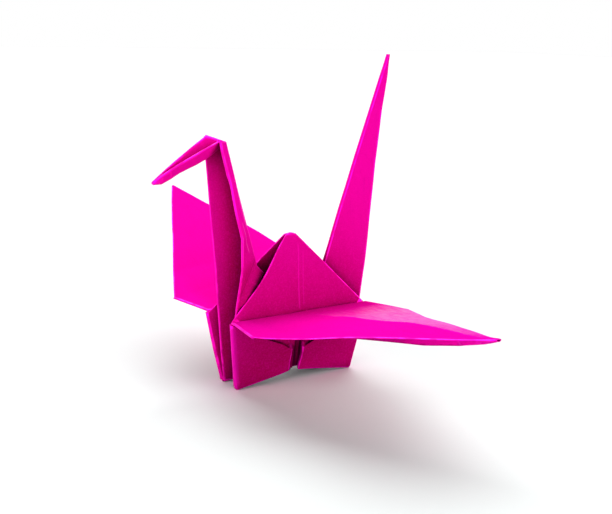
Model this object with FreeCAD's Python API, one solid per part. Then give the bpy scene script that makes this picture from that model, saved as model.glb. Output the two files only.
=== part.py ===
"""Folded paper crane (orizuru): one square sheet of paper, folded flat, then opened.

Millimetres, +Z up. The neck points to -X and the tail to +X. The near wing points to -Y and
the far wing to +Y. The crane stands on the four corners under its body, and the origin is on
the ground below the middle of the body.

The sheet is worked out as a surface through the middle of the paper: flat panels, with a
rounded turn along each fold, every layer one pitch from the next. The surface is then given
the paper's thickness, so the crane is one closed solid with every layer and pocket of the
real fold.
"""
import FreeCAD, Part
import math
import os

Vec = FreeCAD.Vector

# ---- The sheet ---------------------------------------------------------------------------
SHEET = 150.0                       # side of the square
PAPER = 0.07                        # thickness of the paper
PITCH = 0.16                        # from one folded layer to the next

# ---- The folds, in the flat bird base ------------------------------------------------------
NARROWING = math.radians(11.4)      # the kite fold that narrows neck and tail
REVERSE = math.radians(9.4)         # slope of the fold that turns a leg up into neck or tail
REVERSE_DROP = 0.05                 # that fold starts this far below the hinge of the wings
WING_CLEARANCE = 0.05               # the wing folds this far above the side corners

# ---- The opened body ---------------------------------------------------------------------
CORNER_GAP = 5.0                    # side corners, from the middle plane
FOOT_GAP = 2.7                      # feet, from the middle plane
SLIT_OPENING = 0.6                  # each edge of the slit below a wing moves this far aside
SPINE_X = 1.8                       # foot of the neck's and tail's closed edge, from the middle
SPINE_LIFT = 2.3                    # the same point above the feet
PEAK_RISE = 1.3                     # the peak stands this far above where flat paper puts it
CAP = 1.7                           # the peak of the body is rounded over this length
SPINE_TOP = (0.4 * CAP, 0.8 * CAP)  # top of the pleats' fold: from the middle, below the peak
CAP_TOP = 0.5 * CAP                 # top of the rounded peak, below where the ridges would meet

# ---- Wings: (share of the way to the tip, climb in degrees of the stretch before it) -------
WING_BEND = 0.1                     # inner radius of the fold at the wing's root
WING_TIP_CUT = 0.6                  # the blunt tip
NEAR_CLIMB = ((0.26, 5.0), (0.38, 11.5), (0.51, 11.5), (0.63, 11.5), (0.76, 11.5),
              (0.88, 11.0), (1.0, 11.0))
FAR_CLIMB = ((0.26, 8.0), (0.38, 20.0), (0.51, 24.0), (0.63, 21.5), (0.76, 21.0),
             (0.88, 21.0), (1.0, 21.0))
NEAR_TWIST = -0.015                 # rise towards the tail, per mm across the wing
FAR_TWIST = 0.1
TWIST_ONSET = 0.25                  # share of the span over which the twist sets in
NEAR_SWEEP = 0.02                   # the wing leans towards the tail, per mm along it
FAR_SWEEP = 0.026
NEAR_BELLY = 1.4                    # how far the strips under the wing hang
FAR_BELLY = 0.6
BELLY_RISE = 1.8                    # above 1, they hang lowest beyond the middle of the wing
BELLY_WIDTH = 0.8                   # the strips hang lowest at this share of the half width
RAW_BELLY = 0.5                     # share of the sag that is left at the strips' raw edges

# ---- Tail, neck and head ---------------------------------------------------------------------
TAIL_TIP = Vec(26.0, 0.0, 72.8)
HEAD_BACK = Vec(-17.0, 0.0, 54.1)   # closed edge where the head is folded down
NEAR_HEAD_TOP = Vec(-19.4, -3.7, 54.8)  # open edges there
FAR_HEAD_TOP = Vec(-20.2, 2.6, 55.3)
BEAK_TIP = Vec(-33.9, -0.6, 46.5)
TIP_WIDTH = 0.3                     # the blunt ends of tail and beak
# Bows of edges: (how far the edge bows out, rise, sharpness). With a rise above 1 the bow is
# widest beyond the middle of the edge, and a higher sharpness makes the bowed stretch shorter.
NECK_BOWS = ((Vec(2.6, -2.8, 0.0), 1.3, 2.5),)
TAIL_BOWS = ((Vec(0.5, -0.7, 0.0), 0.5, 2),
             (Vec(-0.45, 0.0, 0.0), 3.0, 1))
NEAR_HEAD_BOWS = ((Vec(0.0, -0.5, 0.0), 1.0, 1),)
BEAK_BOWS = ((Vec(0.0, 0.0, -1.5), 0.6, 1.5),
             (Vec(0.0, 0.0, -1.0), 4.0, 1.5))
SETTLING = 0.6                      # share of the head over which it turns to its own slant
NECK_STEPS = 8
TAIL_STEPS = 6
HEAD_STEPS = 8
BEND_STEPS = 3
SEWING = 0.001                      # faces within this distance are joined

# ---- Layers ------------------------------------------------------------------------------------
# Numbers of the layers of a side of the body, outwards
PLEAT, FRONT, WING_TOP, STRIP, STRIP_BACK, WING_BACK, FRONT_BACK, PANEL = range(8)
# Numbers of a leg's and of the head's layers, inwards from the middle of the fold of the body
LEG_NAMES = ("pleat", "strip", "strip_back", "panel")
LEG_LAYERS = (1, 2, 3, 4)
HEAD_LAYERS = (8, 7, 6, 5)
LEG_HALF = 4.5 * PITCH              # from the middle plane to a leg's outer face
HEAD_HALF = 8.5 * PITCH             # the same where the head lies inside the neck
# Depths of folds nested in each other, in layers
INNERMOST, SECOND, THIRD, OUTERMOST = 0.5, 1.5, 2.5, 3.5
RAW_GAP = 0.2                       # raw edges stop this far from the centre line
BACK_GAP = 0.3                      # and those that face the slit this far
FOLD_INSET = SECOND * PITCH         # inner folds stop this far inside the outer ones
MOST_INSET = 0.25                   # but no inset passes this share of a blade's width
TURN_SIDES = 3                      # flats round the tightest fold; a deeper one has more


class Sheet:
    """Points and triangles of the surface through the middle of the paper."""

    def __init__(self):
        self.points = []
        self.triangles = []

    def point(self, place):
        self.points.append(place)
        return len(self.points) - 1

    def triangle(self, a, b, c):
        if len({a, b, c}) == 3:
            self.triangles.append((a, b, c))

    def quad(self, a, b, c, d):
        """Four corners in order, cut along the shorter diagonal."""
        p = self.points
        if p[a].distanceToPoint(p[c]) <= p[b].distanceToPoint(p[d]):
            self.triangle(a, b, c)
            self.triangle(a, c, d)
        else:
            self.triangle(a, b, d)
            self.triangle(b, c, d)

    def panel(self, corners):
        """A convex panel, as a fan from its first corner."""
        for b, c in zip(corners[1:], corners[2:]):
            self.triangle(corners[0], b, c)

    def strip(self, row, other):
        """Quads between two rows of equal length."""
        for i in range(len(row) - 1):
            self.quad(row[i], row[i + 1], other[i + 1], other[i])

    def bridge(self, row, other):
        """Triangles between two rows of any length, along the shorter diagonals."""
        i = 0
        j = 0
        while i < len(row) - 1 or j < len(other) - 1:
            step = j == len(other) - 1
            if i < len(row) - 1 and not step:
                ahead = self.points[row[i + 1]].distanceToPoint(self.points[other[j]])
                beside = self.points[row[i]].distanceToPoint(self.points[other[j + 1]])
                step = ahead <= beside
            if step:
                self.triangle(row[i], row[i + 1], other[j])
                i += 1
            else:
                self.triangle(row[i], other[j + 1], other[j])
                j += 1

    def ribbon(self, rows):
        for row, other in zip(rows, rows[1:]):
            if len(row) == len(other):
                self.strip(row, other)
            else:
                self.bridge(row, other)

    def turn(self, a, b, out, layers):
        """Row of points round a fold from a to b, of the given depth: round at both ends."""
        pa = self.points[a]
        pb = self.points[b]
        depth = layers * PITCH
        sides = TURN_SIDES + int(layers)
        radius = min(depth, pa.distanceToPoint(pb) / 2)
        along = (pb - pa).normalize() * radius
        away = Vec(out).normalize() * depth
        row = [a]
        for k in range(1, sides):
            angle = math.pi * k / sides
            start = pa + along * (1 - math.cos(angle))
            end = pb - along * (1 + math.cos(angle))
            share = 0.5 if 2 * k == sides else round(k / sides)
            row.append(self.point(start * (1 - share) + end * share + away * math.sin(angle)))
        return row + [b]

    def join(self, outer, inner, first, last):
        """Closes the paper where two nested folds meet two end folds.

        outer runs f1..f2, inner f4..f3, first f1..f4 and last f2..f3.
        """
        self.bridge(outer[1:-1], inner[1:-1])
        self.bridge([outer[0], outer[1], inner[1], inner[0]], first)
        self.bridge([outer[-1], outer[-2], inner[-2], inner[-1]], last)


def meet(p, d, q, e):
    """Point where the line through p along d meets the line through q along e."""
    cross = d[0] * e[1] - d[1] * e[0]
    s = ((q[0] - p[0]) * e[1] - (q[1] - p[1]) * e[0]) / cross
    return (p[0] + d[0] * s, p[1] + d[1] * s)


class Flat:
    """The flat bird base. u is the distance from its centre line, y goes up from the hinge."""

    half = SHEET / 2
    centre = (math.sqrt(2) - 1) * half            # middle of the sheet, above the hinge
    level = (1.0, 0.0)
    narrow = (math.sin(NARROWING), math.cos(NARROWING))
    leg_tip = (0.0, -half)
    side = (centre, 0.0)                          # side corner before the narrowing fold
    corner = meet(leg_tip, narrow, side, (-1.0, 1.0))
    hip = meet(leg_tip, narrow, side, level)
    shoulder = meet(leg_tip, narrow, side, (-centre, half))
    reach = math.hypot(side[0], side[1] + half)
    fold_angle = 2 * NARROWING - math.atan2(centre, half)
    slit_top = (reach * math.sin(fold_angle), reach * math.cos(fold_angle) - half)
    root = corner[1] + WING_CLEARANCE             # level of the fold at the wing's root
    root_corner = meet(leg_tip, narrow, (0.0, root), level)
    flap = (shoulder[0] - slit_top[0], shoulder[1] - slit_top[1])
    root_flap = meet(slit_top, flap, (0.0, root), level)
    narrow_side = (math.cos(NARROWING), -math.sin(NARROWING))
    edge_side = (half / math.hypot(half, centre), centre / math.hypot(half, centre))
    rise = (math.cos(REVERSE), -math.sin(REVERSE))
    foot = meet(leg_tip, narrow, (0.0, -REVERSE_DROP), rise)
    slit_foot = meet(leg_tip, (slit_top[0], slit_top[1] + half), (0.0, -REVERSE_DROP), rise)
    spine_foot = (0.0, -REVERSE_DROP)


BODY_LEAN = math.atan2(CORNER_GAP - FOOT_GAP, Flat.corner[1] - Flat.foot[1])
BODY_HEIGHT = (Flat.corner[1] - Flat.foot[1]) * math.cos(BODY_LEAN)
PEAK_STRETCH = 1 + PEAK_RISE / (Flat.centre - Flat.corner[1])
PEAK_LENGTH = (Flat.centre - Flat.corner[1]) * PEAK_STRETCH
PEAK_LEAN = math.asin(CORNER_GAP / PEAK_LENGTH)
PEAK_HEIGHT = BODY_HEIGHT + PEAK_LENGTH * math.cos(PEAK_LEAN)
X = Vec(1, 0, 0)
DOWN = Vec(0, 0, -1)


class Side:
    """Near (-1) or far (+1) side of the body: where its flat points go."""

    def __init__(self, sign, climb, twist, sweep, belly):
        self.sign = sign
        self.climb = climb
        self.twist = twist
        self.sweep = sweep
        self.belly = belly
        self.up = Vec(0, sign * math.sin(BODY_LEAN), math.cos(BODY_LEAN))
        self.out = Vec(0, sign * math.cos(BODY_LEAN), -math.sin(BODY_LEAN))
        self.peak_up = Vec(0, -sign * math.sin(PEAK_LEAN), math.cos(PEAK_LEAN))
        self.peak_out = Vec(0, sign * math.cos(PEAK_LEAN), math.sin(PEAK_LEAN))
        self.corners = Vec(0, sign * CORNER_GAP, BODY_HEIGHT)
        self.span = Flat.half - Flat.root
        self.turned = math.pi / 2 - BODY_LEAN - math.radians(climb[0][1])

    def body(self, end, flat, layer, whole=False):
        """A point of the lower side. whole: the layer runs across the slit unbroken."""
        u, y = flat
        opening = SLIT_OPENING * min(1.0, (Flat.root - y) / (Flat.root - Flat.slit_top[1]))
        if whole:
            opening *= u / ((y + Flat.half) * math.tan(NARROWING))
        return (self.corners + X * (end * (u + opening)) + self.up * (y - Flat.corner[1])
                + self.out * (layer * PITCH))

    def away(self, end, flat, up=None):
        """Direction of a flat vector (u, y) on the body, or where the body's up has turned."""
        return X * (end * flat[0]) + (up or self.up) * flat[1]

    def bend_up(self, share):
        """Where the body's up direction points within the fold at the wing's root."""
        angle = share * self.turned
        return self.up * math.cos(angle) + self.out * math.sin(angle)

    def peak(self, x, y, layer):
        """A point of the triangle above the wing."""
        return (self.corners + X * x + self.peak_up * ((y - Flat.corner[1]) * PEAK_STRETCH)
                + self.peak_out * (layer * PITCH))

    def bend(self, x, layer, share):
        """A point of the fold at the wing's root, from the body (0) to the wing (1)."""
        angle = share * self.turned
        radius = WING_BEND + (WING_BACK - layer) * PITCH
        axis = (self.corners + X * x + self.up * (Flat.root - Flat.corner[1])
                + self.out * (WING_BACK * PITCH + WING_BEND))
        return axis - self.out * (radius * math.cos(angle)) + self.up * (radius * math.sin(angle))

    def wing(self, x, share, layer, drop=0.0):
        """A point of the wing, at a share of its span."""
        place = self.bend(x, WING_BACK, 1.0)
        done = 0.0
        for reached, climb in self.climb:
            step = max(0.0, min(share, reached) - done) * self.span
            angle = math.radians(climb)
            place += Vec(self.sweep, self.sign * math.cos(angle), math.sin(angle)) * step
            if share <= reached:
                break
            done = reached
        normal = Vec(0, -self.sign * math.sin(angle), math.cos(angle))
        lift = (WING_BACK - layer) * PITCH - drop
        return place + normal * lift - DOWN * (self.twist * x * min(1.0, share / TWIST_ONSET))

    def sag(self, share):
        """How far the strips under the wing hang at a share of its span."""
        shoulder = self.climb[0][0]
        along = max(0.0, share - shoulder) / (1 - shoulder)
        return self.belly * math.sin(math.pi * along ** BELLY_RISE)


def mirrored(flat):
    """A flat direction, mirrored by the narrowing fold."""
    n = Flat.narrow_side
    twice = 2 * (flat[0] * n[0] + flat[1] * n[1])
    return (flat[0] - twice * n[0], flat[1] - twice * n[1])


def half_width(share):
    """Half the wing's width at a share of its span past the shoulder."""
    y = Flat.root + share * (Flat.half - Flat.root)
    return Flat.shoulder[0] * (Flat.half - y) / (Flat.half - Flat.shoulder[1])


class Blade:
    """One half of the neck, tail or head: a ruled band from its closed to its open edge."""

    def __init__(self, closed, opened, steps, inward, closed_bows=(), open_bows=(),
                 first_normal=None):
        self.closed = closed
        self.opened = opened
        self.shares = [i / steps for i in range(steps + 1)]
        self.inward = inward
        self.closed_bows = closed_bows
        self.open_bows = open_bows
        self.first_normal = first_normal

    def edges(self, share):
        """Points of the closed and of the open edge."""
        found = []
        for (start, end), bows in ((self.closed, self.closed_bows),
                                   (self.opened, self.open_bows)):
            place = start + (end - start) * share
            for out, rise, sharpness in bows:
                place += out * max(0.0, math.sin(math.pi * share ** rise)) ** sharpness
            found.append(place)
        return found

    def normal(self, share):
        c, e = self.edges(share)
        along = (self.closed[1] - self.closed[0]) + (self.opened[1] - self.opened[0])
        n = (e - c).cross(along).normalize()
        if n.dot(self.inward) < 0:
            n = -n
        if self.first_normal:
            settled = min(1.0, share / SETTLING)
            n = (self.first_normal * (1 - settled) + n * settled).normalize()
        return n

    def place(self, share, from_closed, from_open, layer):
        """A point inset from the closed or from the open edge, on a layer counted inwards."""
        c, e = self.edges(share)
        width = c.distanceToPoint(e)
        if from_closed is not None:
            across = min(from_closed / width, MOST_INSET)
        else:
            across = 1 - min(from_open / width, MOST_INSET)
        return c + (e - c) * across + self.normal(share) * (layer * PITCH)

    def out(self, share):
        c, e = self.edges(share)
        return (e - c).normalize()


def build_blade(sheet, blade, layers):
    """Panels and folds of one half. layers: pleat, strip, strip back and panel, inwards.

    Returns the points of the open and the closed edge, by layer, and the rows of each fold.
    """
    inset_open = dict(pleat=0.0, strip=FOLD_INSET, strip_back=FOLD_INSET, panel=0.0)
    inset_closed = dict(pleat=0.0, strip=RAW_GAP, strip_back=BACK_GAP, panel=BACK_GAP)
    opened = {}
    closed = {}
    for name, layer in zip(LEG_NAMES, layers):
        opened[name] = [sheet.point(blade.place(s, None, inset_open[name], layer))
                        for s in blade.shares]
        closed[name] = [sheet.point(blade.place(s, inset_closed[name], None, layer))
                        for s in blade.shares]
        for i in range(len(blade.shares) - 1):
            sheet.quad(opened[name][i], opened[name][i + 1], closed[name][i + 1], closed[name][i])
    folds = {}
    for fold, a, b, points, sign, depth in (
            ("narrow_outer", "pleat", "panel", opened, 1, SECOND),
            ("narrow_inner", "strip", "strip_back", opened, 1, INNERMOST),
            ("slit", "strip_back", "panel", closed, -1, INNERMOST)):
        folds[fold] = [sheet.turn(points[a][i], points[b][i], blade.out(s) * sign, depth)
                       for i, s in enumerate(blade.shares)]
        sheet.ribbon(folds[fold])
    return opened, closed, folds


def build_spine(sheet, near, far, near_closed, far_closed, depth):
    """The fold along the closed edge, between the near and the far half."""
    rows = []
    for i, share in enumerate(near.shares):
        out = (near.out(share) + far.out(share)) * -1
        rows.append(sheet.turn(near_closed[i], far_closed[i], out, depth))
    sheet.ribbon(rows)
    return rows


def reverse_fold(sheet, lower, upper, out, depths):
    """The folds that join one half to the next. lower, upper: (opened, closed, folds) ends."""
    rows = {}
    for name, depth in depths:
        rows[name] = [sheet.turn(lower[0][name], upper[0][name], out, depth),
                      sheet.turn(lower[1][name], upper[1][name], out, depth)]
        sheet.ribbon(rows[name])
    return rows


def build_crane():
    """The whole sheet, quarter by quarter."""
    sheet = Sheet()
    sides = (Side(-1, NEAR_CLIMB, NEAR_TWIST, NEAR_SWEEP, NEAR_BELLY),
             Side(1, FAR_CLIMB, FAR_TWIST, FAR_SWEEP, FAR_BELLY))
    peak_ring = {}
    for end in (-1, 1):
        legs = [build_quarter(sheet, side, end, peak_ring) for side in sides]
        build_leg(sheet, end, legs, peak_ring)
    for side in sides:
        build_whole_layers(sheet, side, peak_ring)
    close_peak(sheet, peak_ring)
    return sheet


def build_quarter(sheet, side, end, ring):
    """One side of the body at one end: narrowed layers, and half the wing's strips."""
    f = Flat
    add = sheet.point
    at = {"side": side}

    def body(name, flat, layer, whole=False, inset=0.0):
        at[name] = add(side.body(end, (flat[0] - inset, flat[1]), layer, whole))
        return at[name]

    # Corners of the panels below the wing's root
    body("pleat_corner", f.corner, PLEAT)
    body("pleat_foot", f.foot, PLEAT)
    body("front_corner", f.corner, FRONT, True)
    body("front_hip", f.hip, FRONT, True)
    body("wing_hip", f.hip, WING_TOP, True)
    body("strip_foot", f.foot, STRIP, inset=FOLD_INSET)
    body("strip_slit_foot", (RAW_GAP, f.spine_foot[1]), STRIP)
    body("strip_back_foot", f.foot, STRIP_BACK, inset=FOLD_INSET)
    body("strip_back_slit_foot", f.slit_foot, STRIP_BACK)
    body("strip_back_slit_top", f.slit_top, STRIP_BACK)
    body("wing_back_hip", f.hip, WING_BACK)
    body("wing_back_slit_top", f.slit_top, WING_BACK)
    body("front_back_corner", f.corner, FRONT_BACK)
    body("front_back_hip", f.hip, FRONT_BACK)
    body("front_back_slit_top", f.slit_top, FRONT_BACK)
    body("panel_corner", f.corner, PANEL)
    body("panel_slit_top", f.slit_top, PANEL)
    body("panel_slit_foot", f.slit_foot, PANEL)
    body("panel_foot", f.foot, PANEL)

    # Rows across the fold at the wing's root
    def bend_row(flat_u, layer):
        return [add(side.bend(end * flat_u, layer, i / BEND_STEPS)) for i in range(BEND_STEPS + 1)]

    root = {
        "wing": bend_row(f.root_corner[0], WING_TOP),
        "strip": bend_row(f.root_corner[0], STRIP),
        "strip_raw": bend_row(RAW_GAP, STRIP),
        "strip_back": bend_row(f.root_corner[0], STRIP_BACK),
        "strip_back_flap": bend_row(f.root_flap[0], STRIP_BACK),
        "wing_back": bend_row(f.root_corner[0], WING_BACK),
        "wing_back_flap": bend_row(f.root_flap[0], WING_BACK),
    }
    at["root"] = root
    sheet.strip(root["strip"], root["strip_raw"])
    sheet.strip(root["strip_back"], root["strip_back_flap"])
    sheet.strip(root["wing_back"], root["wing_back_flap"])

    # Panels below the root
    sheet.panel([root["strip"][0], root["strip_raw"][0], at["strip_slit_foot"], at["strip_foot"]])
    sheet.panel([at["strip_back_foot"], root["strip_back"][0], root["strip_back_flap"][0],
                 at["strip_back_slit_top"], at["strip_back_slit_foot"]])
    sheet.panel([root["wing_back"][0], root["wing_back_flap"][0], at["wing_back_slit_top"],
                 at["wing_back_hip"]])
    sheet.panel([at["front_back_corner"], at["front_back_slit_top"], at["front_back_hip"]])
    sheet.panel([at["panel_corner"], at["panel_slit_top"], at["panel_slit_foot"],
                 at["panel_foot"]])

    # The wing: shoulder, then stations to the tip
    stations = [reached for reached, _ in side.climb]
    stations[0] = (f.shoulder[1] - f.root) / side.span
    stations[-1] = 1 - WING_TIP_CUT / side.span
    wing_edge = []
    strip_edge = []
    belly = []
    raw_edge = []
    for share in stations:
        w = half_width(share)
        sag = side.sag(share)
        raw = min(RAW_GAP, w * MOST_INSET)
        wing_edge.append(add(side.wing(end * w, share, WING_TOP)))
        strip_edge.append(add(side.wing(end * w, share, STRIP)))
        belly.append(add(side.wing(end * w * BELLY_WIDTH, share, STRIP, sag)))
        raw_edge.append(add(side.wing(end * raw, share, STRIP, sag * RAW_BELLY)))
    at["wing_edge"] = wing_edge
    shoulder_back = add(side.wing(end * f.shoulder[0], stations[0], STRIP_BACK))
    shoulder_wing_back = add(side.wing(end * f.shoulder[0], stations[0], WING_BACK))
    sheet.panel([strip_edge[0], root["strip"][-1], root["strip_raw"][-1]])
    sheet.panel([root["strip_raw"][-1], strip_edge[0], belly[0], raw_edge[0]])
    sheet.ribbon([[e, b, r] for e, b, r in zip(strip_edge, belly, raw_edge)])
    sheet.panel([root["strip_back"][-1], shoulder_back, root["strip_back_flap"][-1]])
    sheet.panel([root["wing_back"][-1], shoulder_wing_back, root["wing_back_flap"][-1]])

    # Directions in which the folds bulge, as flat vectors and on the body
    ups = [side.bend_up(i / BEND_STEPS) for i in range(BEND_STEPS + 1)]
    wing_up = ups[-1]
    flap_side = mirrored(f.edge_side)
    top_side = mirrored((math.sqrt(0.5), -math.sqrt(0.5)))
    narrow_out = side.away(end, f.narrow_side)
    down = side.away(end, (0, -1))
    flap_out = side.away(end, flap_side)
    top_out = side.away(end, top_side)
    hinge_out = side.away(end, mirrored((0, 1)))
    to_slit = side.away(end, (-1, 0))

    # Narrowing fold: pleat to panel, front to its back, wing to its back, strip to its back
    n_pleat = [sheet.turn(at["pleat_corner"], at["panel_corner"], narrow_out, OUTERMOST),
               sheet.turn(at["pleat_foot"], at["panel_foot"], narrow_out, OUTERMOST)]
    n_front = [sheet.turn(at["front_corner"], at["front_back_corner"], narrow_out, THIRD),
               sheet.turn(at["front_hip"], at["front_back_hip"], narrow_out, THIRD)]
    n_wing = [sheet.turn(at["wing_hip"], at["wing_back_hip"], narrow_out, SECOND)]
    n_wing += [sheet.turn(a, b, side.away(end, f.narrow_side, up), SECOND)
               for a, b, up in zip(root["wing"], root["wing_back"], ups)]
    n_wing += [sheet.turn(wing_edge[0], shoulder_wing_back,
                          side.away(end, f.narrow_side, wing_up), SECOND)]
    n_strip = [sheet.turn(at["strip_foot"], at["strip_back_foot"], narrow_out, INNERMOST)]
    n_strip += [sheet.turn(a, b, side.away(end, f.narrow_side, up), INNERMOST)
                for a, b, up in zip(root["strip"], root["strip_back"], ups)]
    n_strip += [sheet.turn(strip_edge[0], shoulder_back,
                           side.away(end, f.narrow_side, wing_up), INNERMOST)]
    for rows in (n_pleat, n_front, n_wing, n_strip):
        sheet.ribbon(rows)

    # Edge of the wing past the shoulder, and the flap's edge back to the top of the slit
    edge = [sheet.turn(a, b, side.away(end, f.edge_side, wing_up), INNERMOST)
            for a, b in zip(wing_edge, strip_edge)]
    sheet.ribbon(edge)
    flap = [sheet.turn(shoulder_wing_back, shoulder_back,
                       side.away(end, flap_side, wing_up), INNERMOST)]
    flap += [sheet.turn(root["wing_back_flap"][i], root["strip_back_flap"][i],
                        side.away(end, flap_side, ups[i]), INNERMOST)
             for i in range(BEND_STEPS, -1, -1)]
    flap += [sheet.turn(at["wing_back_slit_top"], at["strip_back_slit_top"],
                        flap_out, INNERMOST)]
    sheet.ribbon(flap)

    # Top edge of the panel, hinge of the narrowed part, and the edge beside the slit
    top = [sheet.turn(at["front_back_corner"], at["panel_corner"], top_out, INNERMOST),
           sheet.turn(at["front_back_slit_top"], at["panel_slit_top"], top_out, INNERMOST)]
    sheet.ribbon(top)
    hinge = [sheet.turn(at["wing_back_hip"], at["front_back_hip"], hinge_out, INNERMOST),
             sheet.turn(at["wing_back_slit_top"], at["front_back_slit_top"],
                        hinge_out, INNERMOST)]
    sheet.ribbon(hinge)
    slit = [sheet.turn(at["strip_back_slit_top"], at["panel_slit_top"], to_slit, SECOND),
            sheet.turn(at["strip_back_slit_foot"], at["panel_slit_foot"], to_slit, SECOND)]
    sheet.ribbon(slit)

    # Long edge of the body's triangle, between pleat and front
    u = CAP / math.sqrt(2)
    ring["front", side.sign, end] = add(side.peak(end * u, f.centre - u, FRONT))
    ring["pleat", side.sign, end] = add(side.peak(end * u, f.centre - u, PLEAT))
    ridge_out = X * end + side.peak_up
    ridge = [sheet.turn(ring["pleat", side.sign, end], ring["front", side.sign, end],
                        ridge_out, INNERMOST),
             sheet.turn(at["pleat_corner"], at["front_corner"], ridge_out, INNERMOST)]
    sheet.ribbon(ridge)
    ring["ridge", side.sign, end] = ridge[0]

    # Where folds meet
    main_hinge = sheet.turn(at["wing_hip"], at["front_hip"], down, INNERMOST)
    ring["hinge", side.sign, end] = main_hinge
    sheet.join(n_pleat[0], n_front[0], ridge[1], top[0][::-1])
    sheet.join(n_front[1], n_wing[0], main_hinge[::-1], hinge[0][::-1])
    sheet.join(n_wing[-1], n_strip[-1], edge[0], flap[0])
    sheet.join(slit[0], hinge[1], flap[-1][::-1], top[1][::-1])
    ring["whole", side.sign, end] = at
    at["n_pleat_foot"] = n_pleat[1]
    at["n_strip_foot"] = n_strip[0]
    at["slit_foot"] = slit[1]
    return at


def build_leg(sheet, end, quarters, ring):
    """Neck (-1) or tail (+1): both halves, from the reverse fold under the body to the tip."""
    halves = []
    for at in quarters:
        side = at["side"]
        outward = Vec(0, side.sign, 0)
        offset = outward * LEG_HALF
        foot = sheet.points[at["pleat_foot"]]
        spine_foot = Vec(end * SPINE_X, 0, SPINE_LIFT) + offset
        inward = outward * -1
        if end < 0:
            back = HEAD_BACK + outward * HEAD_HALF
            top, bows = (NEAR_HEAD_TOP, NECK_BOWS) if side.sign < 0 else (FAR_HEAD_TOP, ())
            blade = Blade((spine_foot, back), (foot, top), NECK_STEPS, inward, open_bows=bows)
        else:
            tip = TAIL_TIP + offset
            half = X * (TIP_WIDTH / 2)
            blade = Blade((spine_foot, tip - half), (foot, tip + half), TAIL_STEPS, inward,
                          open_bows=TAIL_BOWS)
        halves.append(blade)
    built = [build_blade(sheet, blade, LEG_LAYERS) for blade in halves]
    spine = build_spine(sheet, halves[0], halves[1], built[0][1]["pleat"],
                        built[1][1]["pleat"], SECOND)

    # Pleats of the body, from its corners to the spine
    spine_feet = []
    spine_tops = []
    for at, blade in zip(quarters, halves):
        side = at["side"]
        spine_foot = sheet.point(blade.edges(0.0)[0])
        spine_top = sheet.point(Vec(end * SPINE_TOP[0], side.sign * PITCH / 2,
                                    PEAK_HEIGHT - SPINE_TOP[1]))
        sheet.panel([at["pleat_corner"], at["pleat_foot"], spine_foot, spine_top,
                     ring["pleat", side.sign, end]])
        at["pleat_spine_foot"] = spine_foot
        spine_tops.append(spine_top)
        spine_feet.append(spine_foot)
    to_middle = X * -end
    pleat_spine = [sheet.turn(spine_tops[0], spine_tops[1], to_middle, INNERMOST),
                   sheet.turn(spine_feet[0], spine_feet[1], to_middle, THIRD)]
    sheet.ribbon(pleat_spine)
    ring["spine", end] = pleat_spine[0]

    # The reverse fold under the body
    lifts = []
    for at, (opened, closed, folds) in zip(quarters, built):
        lower = ({"pleat": at["pleat_foot"], "strip": at["strip_foot"],
                  "strip_back": at["strip_back_foot"], "panel": at["panel_foot"]},
                 {"pleat": at["pleat_spine_foot"], "strip": at["strip_slit_foot"],
                  "strip_back": at["strip_back_slit_foot"], "panel": at["panel_slit_foot"]})
        upper = ({n: opened[n][0] for n in opened}, {n: closed[n][0] for n in closed})
        rows = reverse_fold(sheet, lower, upper, DOWN,
                            (("pleat", INNERMOST), ("strip", SECOND), ("strip_back", THIRD),
                             ("panel", OUTERMOST)))
        sheet.join(rows["panel"][0], rows["pleat"][0], at["n_pleat_foot"][::-1],
                   folds["narrow_outer"][0][::-1])
        sheet.join(rows["strip_back"][0], rows["strip"][0], at["n_strip_foot"][::-1],
                   folds["narrow_inner"][0][::-1])
        sheet.join(rows["panel"][1], rows["strip_back"][1], at["slit_foot"][::-1],
                   folds["slit"][0][::-1])
        lifts.append(rows["pleat"][1])
    sheet.join(pleat_spine[1], spine[0], lifts[0], lifts[1])
    if end < 0:
        build_head(sheet, halves, built, spine)


def build_head(sheet, halves, built, spine):
    """The head: the tip of the neck, reverse folded forward between the neck's halves."""
    heads = []
    for sign, blade, bows in zip((-1, 1), halves, (NEAR_HEAD_BOWS, ())):
        c, e = blade.edges(1.0)
        tip = BEAK_TIP + Vec(0, sign * HEAD_HALF, 0)
        half = DOWN * (TIP_WIDTH / 2)
        heads.append(Blade((c, tip + half), (e, tip - half), HEAD_STEPS, Vec(0, -sign, 0),
                           closed_bows=BEAK_BOWS, open_bows=bows,
                           first_normal=blade.normal(1.0)))
    head_built = [build_blade(sheet, blade, HEAD_LAYERS) for blade in heads]
    head_spine = build_spine(sheet, heads[0], heads[1], head_built[0][1]["pleat"],
                             head_built[1][1]["pleat"], INNERMOST)
    turns = []
    for blade, head, (opened, closed, folds), (h_opened, h_closed, h_folds) in zip(
            halves, heads, built, head_built):
        out = (blade.closed[1] - blade.closed[0]).normalize() - (
            head.closed[1] - head.closed[0]).normalize()
        lower = ({n: opened[n][-1] for n in opened}, {n: closed[n][-1] for n in closed})
        upper = ({n: h_opened[n][0] for n in opened}, {n: h_closed[n][0] for n in closed})
        rows = reverse_fold(sheet, lower, upper, out,
                            (("pleat", OUTERMOST), ("strip", THIRD), ("strip_back", SECOND),
                             ("panel", INNERMOST)))
        sheet.join(rows["pleat"][0], rows["panel"][0], folds["narrow_outer"][-1],
                   h_folds["narrow_outer"][0])
        sheet.join(rows["strip"][0], rows["strip_back"][0], folds["narrow_inner"][-1],
                   h_folds["narrow_inner"][0])
        sheet.join(rows["strip_back"][1], rows["panel"][1], folds["slit"][-1], h_folds["slit"][0])
        turns.append(rows["pleat"][1])
    sheet.join(spine[-1], head_spine[0], turns[0], turns[1])


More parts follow.
